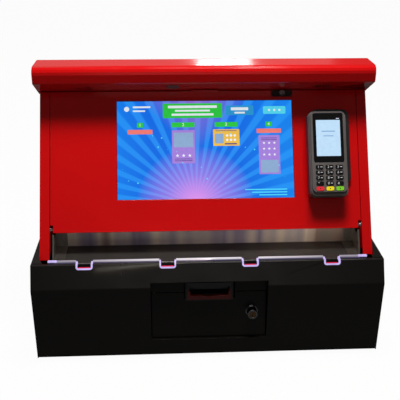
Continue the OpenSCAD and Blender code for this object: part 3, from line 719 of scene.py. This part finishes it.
@dataclass
class Kit:
    """Makes pieces, dresses CAD nodes and keeps the names of both for the log."""

    nodes: dict[str, bpy.types.Object]
    made: dict[str, bpy.types.Material] = field(default_factory=dict)
    pieces: list[str] = field(default_factory=list)

    def material(self, finish: Finish) -> bpy.types.Material:
        """The one material of a finish, built on first use.

        Args:
            finish: One of the finishes above.

        Returns:
            Its material.
        """
        if finish.name not in self.made:
            self.made[finish.name] = finish.build()
        return self.made[finish.name]

    def dress(self, names: list[str], finish: Finish, edge: float = 0.0005, steps: int = 2) -> None:
        """Gives CAD nodes a finish and softly broken edges.

        Args:
            names: CAD nodes.
            finish: The finish they all share.
            edge: Width of the broken edge, or 0 for none.
            steps: Segments over that edge.
        """
        for name in names:
            node = self.nodes[name]
            self.pieces.append(name)
            node.data.materials.clear()
            node.data.materials.append(self.material(finish))
            if edge > 0.0:
                self.soften(node, edge, steps)

    def soften(self, node: bpy.types.Object, edge: float, steps: int) -> None:
        """Adds modifiers that weld the mesh and round its sharp edges.

        Args:
            node: CAD node.
            edge: Width of the broken edge.
            steps: Segments over that edge.
        """
        weld = node.modifiers.new("weld", "WELD")
        weld.merge_threshold = 0.000005
        bevel = node.modifiers.new("edge", "BEVEL")
        bevel.width = edge
        bevel.segments = steps
        bevel.limit_method = "ANGLE"
        bevel.angle_limit = math.radians(40)
        bevel.use_clamp_overlap = True
        bevel.harden_normals = False

    def piece(
        self, name: str, mesh: bpy.types.Mesh, finish: Finish, body: Body, at: Matrix
    ) -> None:
        """Places a mesh in the row frame on a CAD body.

        Args:
            name: Piece name.
            mesh: Its mesh, in local coordinates.
            finish: Its finish.
            body: CAD body that it rides on.
            at: Where it lies in the row frame.
        """
        mesh.transform(at)
        obj = added(name, mesh)
        mesh.materials.append(self.material(finish))
        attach(obj, body.value)
        self.pieces.append(name)

    @staticmethod
    def slab(outline: list[Point], thick: float) -> bpy.types.Mesh:
        """Flat plate of an outline, rising from local Z 0 to its thickness.

        Args:
            outline: Closed outline, in order.
            thick: Thickness.

        Returns:
            The closed mesh.
        """
        book = bmesh.new()
        low = [book.verts.new((x, y, 0.0)) for x, y in outline]
        top = [book.verts.new((x, y, thick)) for x, y in outline]
        count = len(outline)
        book.faces.new(list(reversed(low)))
        book.faces.new(top)
        for i in range(count):
            j = (i + 1) % count
            book.faces.new((low[i], low[j], top[j], top[i]))
        bmesh.ops.recalc_face_normals(book, faces=book.faces)
        mesh = bpy.data.meshes.new("slab")
        book.to_mesh(mesh)
        book.free()
        return mesh

    @staticmethod
    def merged(parts: list[tuple[bpy.types.Mesh, Matrix]], name: str) -> bpy.types.Mesh:
        """One mesh from several placed ones.

        Args:
            parts: Meshes with their places; they are used up.
            name: Name of the whole mesh.

        Returns:
            The whole mesh.
        """
        book = bmesh.new()
        for mesh, at in parts:
            mesh.transform(at)
            book.from_mesh(mesh)
            bpy.data.meshes.remove(mesh)
        whole = bpy.data.meshes.new(name)
        book.to_mesh(whole)
        book.free()
        return whole

    @staticmethod
    def glyph(text: str, size: float, thick: float) -> bpy.types.Mesh:
        """Mesh of one numeral or sign, centred on its own middle.

        Args:
            text: The numeral or sign.
            size: Height of the type.
            thick: Half of its thickness.

        Returns:
            The mesh.
        """
        curve = bpy.data.curves.new("glyph", "FONT")
        curve.body = text
        curve.size = size
        curve.extrude = thick
        curve.align_x = "CENTER"
        curve.align_y = "CENTER"
        curve.resolution_u = 3
        holder = added("glyph", curve)
        bpy.context.view_layer.update()
        graph = bpy.context.evaluated_depsgraph_get()
        mesh = bpy.data.meshes.new_from_object(holder.evaluated_get(graph))
        bpy.data.objects.remove(holder)
        mesh.materials.clear()
        return mesh


# Sub-assemblies


@dataclass
class Assembly:
    """Sub-assembly of CAD nodes; each row of coats has node names, a finish and a broken edge."""

    coats: ClassVar[tuple[tuple[str, Finish, float], ...]] = ()

    def build(self, kit: Kit) -> None:
        """Dresses the nodes.

        Args:
            kit: Piece maker with the CAD nodes.
        """
        for names, finish, edge in self.coats:
            kit.dress(names.split(), finish, edge)


@dataclass
class BaseUnit(Assembly):
    """Black base with the sloped band, the glowing lip with a painted highlight along its top, and
    its finger notches.
    """

    coats = (
        ("base_shell base_front bill_header", BLACK, 0.0006),
        ("rubber_feet", RUBBER, 0.001),
    )

    band: Plane
    pitch: float = 0.1548
    notch: float = 0.031
    drop: float = 0.0095
    edging: float = 0.003
    light_rise: float = 0.0011
    light_sink: float = 0.0035

    @property
    def lanes(self) -> tuple[float, ...]:
        """Middles of the four lanes along X."""
        return tuple(self.pitch * k for k in (-1.5, -0.5, 0.5, 1.5))

    def build(self, kit: Kit) -> None:
        """Dresses the base and adds the small red lights inside the notches.

        Args:
            kit: Piece maker with the CAD nodes.
        """
        super().build(kit)
        # The last colour is the painted highlight along the top face of the lip.
        trim = LitEdging(
            "edging_glow_and_sheen", self.pitch, self.notch, (0.6, 0.5, 0.97), (0.05, 0.04, 0.09),
            (0.6, 0.58, 0.62),
        )
        kit.dress(["lip_trim"], trim, 0.0004)
        width = self.notch - 2 * self.edging - 0.003
        rise = -self.drop + self.edging + self.light_rise
        for index, x in enumerate(self.lanes, 1):
            bar = kit.slab(rounded(width, 0.0016, 0.0006, 3), 0.0012)
            at = self.band.matrix(x, rise, -self.light_sink)
            kit.piece(f"notch_light_{index}", bar, NOTCH_RED, Body.CABINET, at)


@dataclass
class Tray(Assembly):
    """Brushed ticket tray between the end plates."""

    coats = (("tray_liner", TRAY, 0.0003), ("tray_end_plates", PLATES, 0.0003))


@dataclass
class CashUnit(Assembly):
    """Cash door with its lock, the bill frame and what stands behind them."""

    coats = (
        ("cash_door", BLACK, 0.0005),
        ("bill_bezel", BEZEL, 0.0007),
        ("bill_lamp", BILL_GLOW, 0.0004),
        ("bill_validator", HOUSING, 0.001),
        ("cash_box", PLATED, 0.0012),
        ("cash_lock_barrel", RING, 0.0006),
        ("cash_lock_plug", DARK_BRASS, 0.0003),
    )


@dataclass
class Cabinet(Assembly):
    """Red cabinet with its canopy and what hangs under it."""

    coats = (
        ("cabinet_shell canopy_hood canopy_underside", RED, 0.0006),
        ("speakers", HOUSING, 0.0),
        ("sensor_window", SMOKED, 0.0006),
        ("hinge_pins hood_screws mount_screws", STEEL, 0.0003),
        ("power_supply", PLATED, 0.0008),
    )


@dataclass
class Feeders(Assembly):
    """Four ticket feeders with their packs."""

    coats = (
        ("feeder_deck feeder_frames", PLATED, 0.0004),
        ("feed_roller_1 feed_roller_2 feed_roller_3 feed_roller_4", SLEEVE, 0.0006),
        (
            "pressure_roller_1 pressure_roller_2 pressure_roller_3 pressure_roller_4",
            SLEEVE, 0.0005,
        ),
        ("feed_motors", STEEL, 0.0006),
        ("ticket_packs", CARD, 0.0008),
    )


@dataclass
class Door(Assembly):
    """Red front door with its small lock."""

    coats = (
        ("front_door", RED, 0.0006),
        ("door_lock_plate", LOCK_PLATE, 0.0006),
        ("door_lock_barrel", DARK_CHROME, 0.0004),
        ("door_lock_plug", DARK_CHROME, 0.0003),
    )


@dataclass
class TouchScreen(Assembly):
    """Screen in the front door with a plain ticket menu made of bars, cards and numerals."""

    coats = (("screen_glass", SCREEN_EDGE, 0.0), ("screen_panel controller", HOUSING, 0.0006))

    plane: Plane
    centre: float = 0.1978
    width: float = 0.3442
    height: float = 0.1936
    face: float = -0.0022
    film: float = 0.00008
    step: float = 0.0001
    columns: tuple[float, ...] = (0.13, 0.375, 0.62, 0.865)
    tag_row: float = 0.755
    spark_steps: Point = (0.618, 0.7548)

    def build(self, kit: Kit) -> None:
        """Dresses the screen stack and lays the picture and the menu on the glass.

        Args:
            kit: Piece maker with the CAD nodes.
        """
        super().build(kit)
        self.background(kit)
        self.header(kit)
        self.tags(kit)
        self.cards(kit)
        self.notes(kit)

    def background(self, kit: Kit) -> None:
        """Lays the ray picture over the visible glass.

        Args:
            kit: Piece maker.
        """
        mesh = bpy.data.meshes.new("screen_picture")
        w, h = self.width / 2, self.height / 2
        mesh.from_pydata([(-w, -h, 0), (w, -h, 0), (w, h, 0), (-w, h, 0)], [], [(0, 1, 2, 3)])
        layer = mesh.uv_layers.new(name="screen")
        for loop, uv in zip(layer.data, ((0, 0), (1, 0), (1, 1), (0, 1))):
            loop.uv = uv
        at = self.plane.matrix(0.0, self.centre, self.face)
        kit.piece("screen_picture", mesh, RayPicture("ray_picture"), Body.DOOR, at)

    def shift(self, u: float, v: float) -> Matrix:
        """Move from the screen's centre to shares of its width and height."""
        return Matrix.Translation(((u - 0.5) * self.width, (v - 0.5) * self.height, 0.0))

    def bar(self, w: float, h: float, radius: float, u: float, v: float) -> Shape:
        """Rounded bar or card of the menu.

        Args:
            w: Its width, as a share of the screen's.
            h: Its height, as a share of the screen's.
            radius: Corner radius in metres.
            u: Its centre across, as a share of the width.
            v: Its centre up, as a share of the height.

        Returns:
            Its outline with its centre.
        """
        return rounded(w * self.width, h * self.height, radius), u, v

    def layer(
        self, kit: Kit, name: str, finish: Finish, shapes: list[Shape], level: int
    ) -> None:
        """Lays flat shapes of one finish on the picture.

        Args:
            kit: Piece maker.
            name: Piece name.
            finish: Finish of all the shapes.
            shapes: Outlines with their centres, as shares of the screen's width and height.
            level: How many layers above the picture they lie.
        """
        parts = [(kit.slab(outline, self.film), self.shift(u, v)) for outline, u, v in shapes]
        at = self.plane.matrix(0.0, self.centre, self.face + self.step * level)
        kit.piece(name, kit.merged(parts, name), finish, Body.DOOR, at)

    def header(self, kit: Kit) -> None:
        """Green field, blue panel, key and text bars along the top edge.

        Args:
            kit: Piece maker.
        """
        bar, top = self.bar, 0.9
        self.layer(kit, "menu_header", MENU_GREEN, [bar(0.34, 0.15, 0.002, 0.43, top)], 1)
        self.layer(kit, "menu_panel", MENU_BLUE, [bar(0.16, 0.1, 0.002, 0.7, top)], 1)
        self.layer(kit, "menu_lines", MENU_WHITE, [
            bar(0.28, 0.026, 0.001, 0.43, 0.94), bar(0.2, 0.018, 0.0008, 0.43, top),
            bar(0.24, 0.022, 0.0008, 0.43, 0.86), bar(0.1, 0.03, 0.001, 0.7, 0.915),
            bar(0.06, 0.018, 0.0008, 0.7, 0.875), (disc(0.005), 0.055, 0.92),
            bar(0.1, 0.018, 0.0008, 0.14, 0.94), bar(0.07, 0.016, 0.0008, 0.125, top),
        ], 3)
        self.layer(kit, "menu_key", MENU_CYAN, [bar(0.13, 0.08, 0.0025, 0.9, top)], 1)
        dots = [(disc(0.0022, 16), 0.87 + 0.03 * i, top) for i in range(3)]
        self.layer(kit, "menu_key_dots", MENU_WHITE, dots, 2)

    def tags(self, kit: Kit) -> None:
        """Green tag with a numeral over each lane, and coral bars under the outer two.

        Args:
            kit: Piece maker.
        """
        inner, outer = self.columns[1:3], (self.columns[0], self.columns[3])
        tags = [self.bar(0.13, 0.05, 0.0012, u, self.tag_row) for u in inner]
        tags += [self.bar(0.035, 0.05, 0.0008, u, self.tag_row) for u in outer]
        self.layer(kit, "menu_tags", MENU_GREEN, tags, 1)
        bars = [self.bar(0.14, 0.045, 0.0008, u, 0.685) for u in outer]
        self.layer(kit, "menu_bars", MENU_CORAL, bars, 1)
        parts = []
        for number, u in enumerate(self.columns, 1):
            numeral = kit.glyph(str(number), 0.009, self.film / 2)
            parts.append((numeral, self.shift(u, self.tag_row)))
        at = self.plane.matrix(0.0, self.centre, self.face + 3.5 * self.step)
        kit.piece("menu_numerals", kit.merged(parts, "menu_numerals"), MENU_WHITE, Body.DOOR, at)

    def cards(self, kit: Kit) -> None:
        """Ticket cards with panels, motifs and rules.

        Args:
            kit: Piece maker.
        """
        bar = self.bar
        _, left, middle, right = self.columns
        self.layer(kit, "card_amber", MENU_AMBER, [bar(0.15, 0.17, 0.001, middle, 0.62)], 1)
        violet = [bar(0.13, 0.34, 0.001, left, 0.53), bar(0.12, 0.4, 0.001, right, 0.44)]
        self.layer(kit, "card_violet", MENU_VIOLET, violet, 1)
        self.layer(kit, "card_panels", MENU_PALE, [
            bar(0.11, 0.15, 0.0008, left, 0.6), bar(0.1, 0.13, 0.0008, right, 0.32),
            bar(0.05, 0.1, 0.0008, middle - 0.04, 0.61),
        ], 2)
        motifs = [(star(0.0035, 0.0015), left - 0.035 + 0.035 * i, 0.44) for i in range(3)]
        motifs += [
            (star(0.003, 0.0012), right - 0.03 + 0.03 * i, 0.56 - 0.06 * j)
            for i in range(3) for j in range(3)
        ]
        motifs += [
            (disc(0.0024, 12), middle + 0.005 + 0.022 * i, 0.64 - 0.045 * j)
            for i in range(3) for j in range(2)
        ]
        self.layer(kit, "card_motifs", MENU_WHITE, motifs, 3)
        rules = [bar(0.1, 0.006, 0.0003, left, 0.405 - 0.018 * i) for i in range(2)]
        rules += [bar(0.09, 0.006, 0.0003, right, 0.61 - 0.018 * i) for i in range(2)]
        rules.append(bar(0.12, 0.006, 0.0003, middle, 0.69))
        rules.append(bar(0.07, 0.012, 0.0004, middle + 0.025, 0.555))
        self.layer(kit, "card_rules", MENU_INK, rules, 2)

    def notes(self, kit: Kit) -> None:
        """Note lines in the lower right corner and sparks spread over the picture.

        Args:
            kit: Piece maker.
        """
        notes = [
            self.bar(0.24 - 0.04 * i, 0.01, 0.0005, 0.84 + 0.02 * i, 0.085 - 0.028 * i)
            for i in range(3)
        ]
        self.layer(kit, "menu_notes", MENU_CYAN, notes, 1)
        du, dv = self.spark_steps
        sparks = [
            (disc(0.0005 + 0.0005 * (i % 3), 10), 0.03 + 0.94 * (i * du % 1.0),
             0.12 + 0.62 * ((i * dv + 0.3) % 1.0)) for i in range(24)
        ]
        self.layer(kit, "menu_sparks", MENU_CYAN, sparks, 1)


@dataclass
class Terminal(Assembly):
    """Card terminal: case, glass, display and keypad."""

    coats = (("terminal_mount", MOUNT, 0.0008), ("terminal_glass", BLACK_GLASS, 0.0003))

    plane: Plane
    x: float = 0.234
    s: float = 0.1805
    face: float = 0.038
    key_rise: float = 0.0012
    film: float = 0.0001
    glass_rise: float = 0.0004
    display: Place = (0.0465, 0.07, 0.0297)
    columns: tuple[float, ...] = (-0.019, 0.0, 0.019)
    rows: tuple[float, ...] = (-0.0264, -0.0369, -0.0474, -0.0579, -0.0679)
    digits: str = "123456789*0#"
    key_names: tuple[str, ...] = (
        *(f"key_{n}" for n in range(1, 10)),
        "key_star", "key_0", "key_hash", "key_cancel", "key_clear", "key_enter",
    )
    caps: tuple[Colour, ...] = ((0.85, 0.03, 0.04), (0.9, 0.75, 0.01), (0.2, 0.6, 0.02))

    def build(self, kit: Kit) -> None:
        """Dresses the terminal and adds its display and legends.

        Args:
            kit: Piece maker with the CAD nodes.
        """
        out = tuple(self.plane.out)
        case = TwoTone("terminal_case", (0.15, 0.134, 0.13), (0.035, 0.032, 0.034), out)
        kit.dress(["terminal_case"], case, 0.0006)
        super().build(kit)
        plain = len(self.digits)
        kit.dress(list(self.key_names[:plain]), KEY_DARK, 0.0006)
        for name, colour in zip(self.key_names[plain:], self.caps):
            kit.dress([name], Moulded(name + "_cap", colour, 0.4, glow=0.3, gloss=0.3), 0.0006)
        self.show(kit)
        self.legends(kit)

    def over(self, u: float, v: float, rise: float) -> Matrix:
        """World matrix of a point over the terminal's face."""
        return self.plane.matrix(self.x + u, self.s + v, self.face + rise)

    def plate(self, width: float, height: float, radius: float) -> bpy.types.Mesh:
        """Thin rounded plate for the display."""
        return Kit.slab(rounded(width, height, radius, 2), self.film)

    def show(self, kit: Kit) -> None:
        """Pale display with two soft bars, and a small status light.

        Args:
            kit: Piece maker.
        """
        width, height, middle = self.display
        kit.piece(
            "terminal_display", self.plate(width, height, 0.0006),
            Lit("display_pale", (0.5, 0.7, 0.9), 0.92), Body.DOOR,
            self.over(0.0, middle, self.glass_rise),
        )
        lines = [
            (self.plate(0.026, 0.0022, 0.0008), Matrix.Translation((0.0, 0.009, 0.0))),
            (self.plate(0.02, 0.0018, 0.0006), Matrix.Identity(4)),
        ]
        kit.piece(
            "display_bars", kit.merged(lines, "display_bars"),
            Lit("display_blue", (0.25, 0.45, 0.75), 0.8), Body.DOOR,
            self.over(0.0, middle + 0.004, self.glass_rise + 0.00012),
        )
        kit.piece(
            "terminal_light", self.plate(0.006, 0.0014, 0.0005),
            Lit("status_light", (0.7, 0.7, 0.85), 0.9), Body.DOOR,
            self.over(0.019, 0.0675, self.glass_rise),
        )

    def legends(self, kit: Kit) -> None:
        """Numerals and small marks on the keys; each rides on its own key.

        Args:
            kit: Piece maker.
        """
        pale = Lit("legend_white", (0.8, 0.8, 0.8), 0.55)
        ink = Moulded("legend_ink", (0.02, 0.02, 0.02), 0.6)
        raised = 0.00006
        for index, name in enumerate(self.key_names):
            if index < len(self.digits):
                digit = kit.glyph(self.digits[index], 0.0068, 0.00004)
                parts = [(digit, Matrix.Translation((-0.0025, 0.0, 0.0)))]
                if self.digits[index].isdigit():
                    bar = kit.slab(rounded(0.004, 0.0012, 0.0003, 2), raised)
                    parts.append((bar, Matrix.Translation((0.0033, 0.0002, 0.0))))
                finish = pale
            else:
                parts = [(kit.slab(disc(0.0011, 12), raised), Matrix.Identity(4))]
                finish = ink
            mesh = kit.merged(parts, f"legend_{name}")
            mesh.transform(self.over(self.columns[index % 3], self.rows[index // 3], self.key_rise))
            piece = added(f"legend_{name}", mesh)
            mesh.materials.append(kit.material(finish))
            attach(piece, name)
            kit.pieces.append(piece.name)


@dataclass(frozen=True)
class Lamp:
    """One rectangular area light."""

    name: str
    at: Place
    size: Point
    power: float
    colour: Colour

    def hang(self, aim: Vector) -> None:
        """Hangs the light, unseen by the camera itself.

        Args:
            aim: Point that it shines at.
        """
        data = bpy.data.lights.new(self.name, "AREA")
        data.shape = "RECTANGLE"
        data.size, data.size_y = self.size
        data.energy = self.power
        data.color = self.colour
        lamp = added(self.name, data)
        lamp.location = self.at
        lamp.visible_camera = False
        ray = aim - Vector(self.at)
        lamp.rotation_euler = ray.to_track_quat("-Z", "Y").to_euler()


@dataclass
class Studio:
    """White table and backdrop, soft lights and the camera at the photo's angle."""

    eye: Place = (-0.07721, -1.28712, 0.83459)
    yaw: float = 3.03
    pitch: float = -24.34
    roll: float = 0.35
    lens: float = 61.85
    half_floor: float = 8.0
    whiteness: float = 0.965
    bounce: float = 0.15
    room: Colour = (1.0, 0.98, 0.96)
    room_strength: float = 0.065
    aim: Place = (0.0, 0.0, 0.25)
    lamps: tuple[Lamp, ...] = (
        Lamp("ceiling", (0.1, -0.18, 2.3), (0.8, 0.5), 43.0, (1.0, 0.98, 0.95)),
        Lamp("front_fill", (0.1, -2.6, 1.2), (1.2, 0.5), 1.6, (1.0, 0.94, 0.88)),
        Lamp("side_fill", (-2.2, -0.6, 1.1), (0.8, 0.8), 1.8, (0.95, 0.97, 1.0)),
        Lamp("rear_window", (0.26, 2.6, 1.2), (0.3, 0.055), 2.0, (1.0, 0.98, 0.97)),
        Lamp("rear_glow", (-0.3, 2.4, 1.2), (2.4, 1.2), 1.9, (1.0, 0.97, 0.96)),
        Lamp("lip_glow", (0.03, -0.157, 0.204), (0.5, 0.005), 0.045, (1.0, 0.88, 0.74)),
    )

    def build(self, kit: Kit) -> None:
        """Sets floor, world, lights and camera; it makes no piece of the object.

        Args:
            kit: Piece maker, given to every part alike; it is not used.
        """
        self.floor()
        self.world()
        for lamp in self.lamps:
            lamp.hang(Vector(self.aim))
        self.camera()
        bpy.context.scene.view_settings.view_transform = "Standard"

    def floor(self) -> None:
        """Plain pale counter top."""
        mesh = bpy.data.meshes.new("counter_top")
        r = self.half_floor
        mesh.from_pydata([(-r, -r, 0), (r, -r, 0), (r, r, 0), (-r, r, 0)], [], [(0, 1, 2, 3)])
        floor = added("counter_top", mesh)
        mesh.materials.append(self.paper())

    def paper(self) -> bpy.types.Material:
        """White paper that shows a faint shadow and sends little light up to the black base.

        Returns:
            The material.
        """
        weave = Weave.named("counter_paper")
        fibre = weave.noise(weave.place(), 40.0, 3.0)
        white = weave.ramp(fibre, [(NOISE_LOW, grey(0.8)), (NOISE_HIGH, grey(0.84))])
        sheet, dull = weave.add("BsdfDiffuse"), weave.add("BsdfDiffuse")
        lit = weave.add("Emission")
        for node, colour in ((sheet, white), (dull, grey(self.bounce)), (lit, grey(1.0))):
            weave.feed(node.inputs["Color"], colour)
        shown = weave.either(self.whiteness, sheet, lit)
        return weave.finish(weave.seen(dull, shown))

    def world(self) -> None:
        """White to the camera, a soft grey room to everything else."""
        world = bpy.data.worlds.new("room")
        bpy.context.scene.world = world
        weave = Weave.over(world)
        room = weave.add("Background", strength=self.room_strength)
        white = weave.add("Background")
        weave.feed(room.inputs["Color"], self.room)
        weave.feed(white.inputs["Color"], grey(1.0))
        weave.add("OutputWorld", surface=weave.seen(room, white))

    def camera(self) -> None:
        """Camera fitted to the photo's edges."""
        yaw, pitch, roll = (math.radians(v) for v in (self.yaw, self.pitch, self.roll))
        level = math.cos(pitch)
        ahead = Vector((math.sin(yaw) * level, math.cos(yaw) * level, math.sin(pitch)))
        right = Vector((math.cos(yaw), -math.sin(yaw), 0.0))
        up = right.cross(ahead)
        tilted = right * math.cos(roll) + up * math.sin(roll)
        risen = up * math.cos(roll) - right * math.sin(roll)
        data = bpy.data.cameras.new("camera")
        data.lens = self.lens
        data.sensor_width = 36.0
        data.clip_start, data.clip_end = 0.05, 50.0
        camera = added("camera", data)
        turn = Matrix((tilted, risen, -ahead)).transposed().to_4x4()
        camera.matrix_world = Matrix.Translation(Vector(self.eye)) @ turn
        bpy.context.scene.camera = camera


def main() -> None:
    """Builds every sub-assembly in order and reports what was made."""
    logging.basicConfig(level=logging.INFO, format="%(name)s: %(message)s")
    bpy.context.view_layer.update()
    kit = Kit(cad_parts)
    door = Plane.leaning(DOOR_FOOT, BASE_TOP, DOOR_LEAN)
    band = Plane.leaning(LIP_FRONT, BASE_TOP, BAND_LEAN)
    for part in (
        BaseUnit(band), Tray(), CashUnit(), Cabinet(), Feeders(), Door(),
        TouchScreen(door), Terminal(door), Studio(),
    ):
        count = len(kit.pieces)
        part.build(kit)
        for piece in kit.pieces[count:]:
            LOG.info("%s: %s", type(part).__name__, piece)


if __name__ == "__main__":
    main()
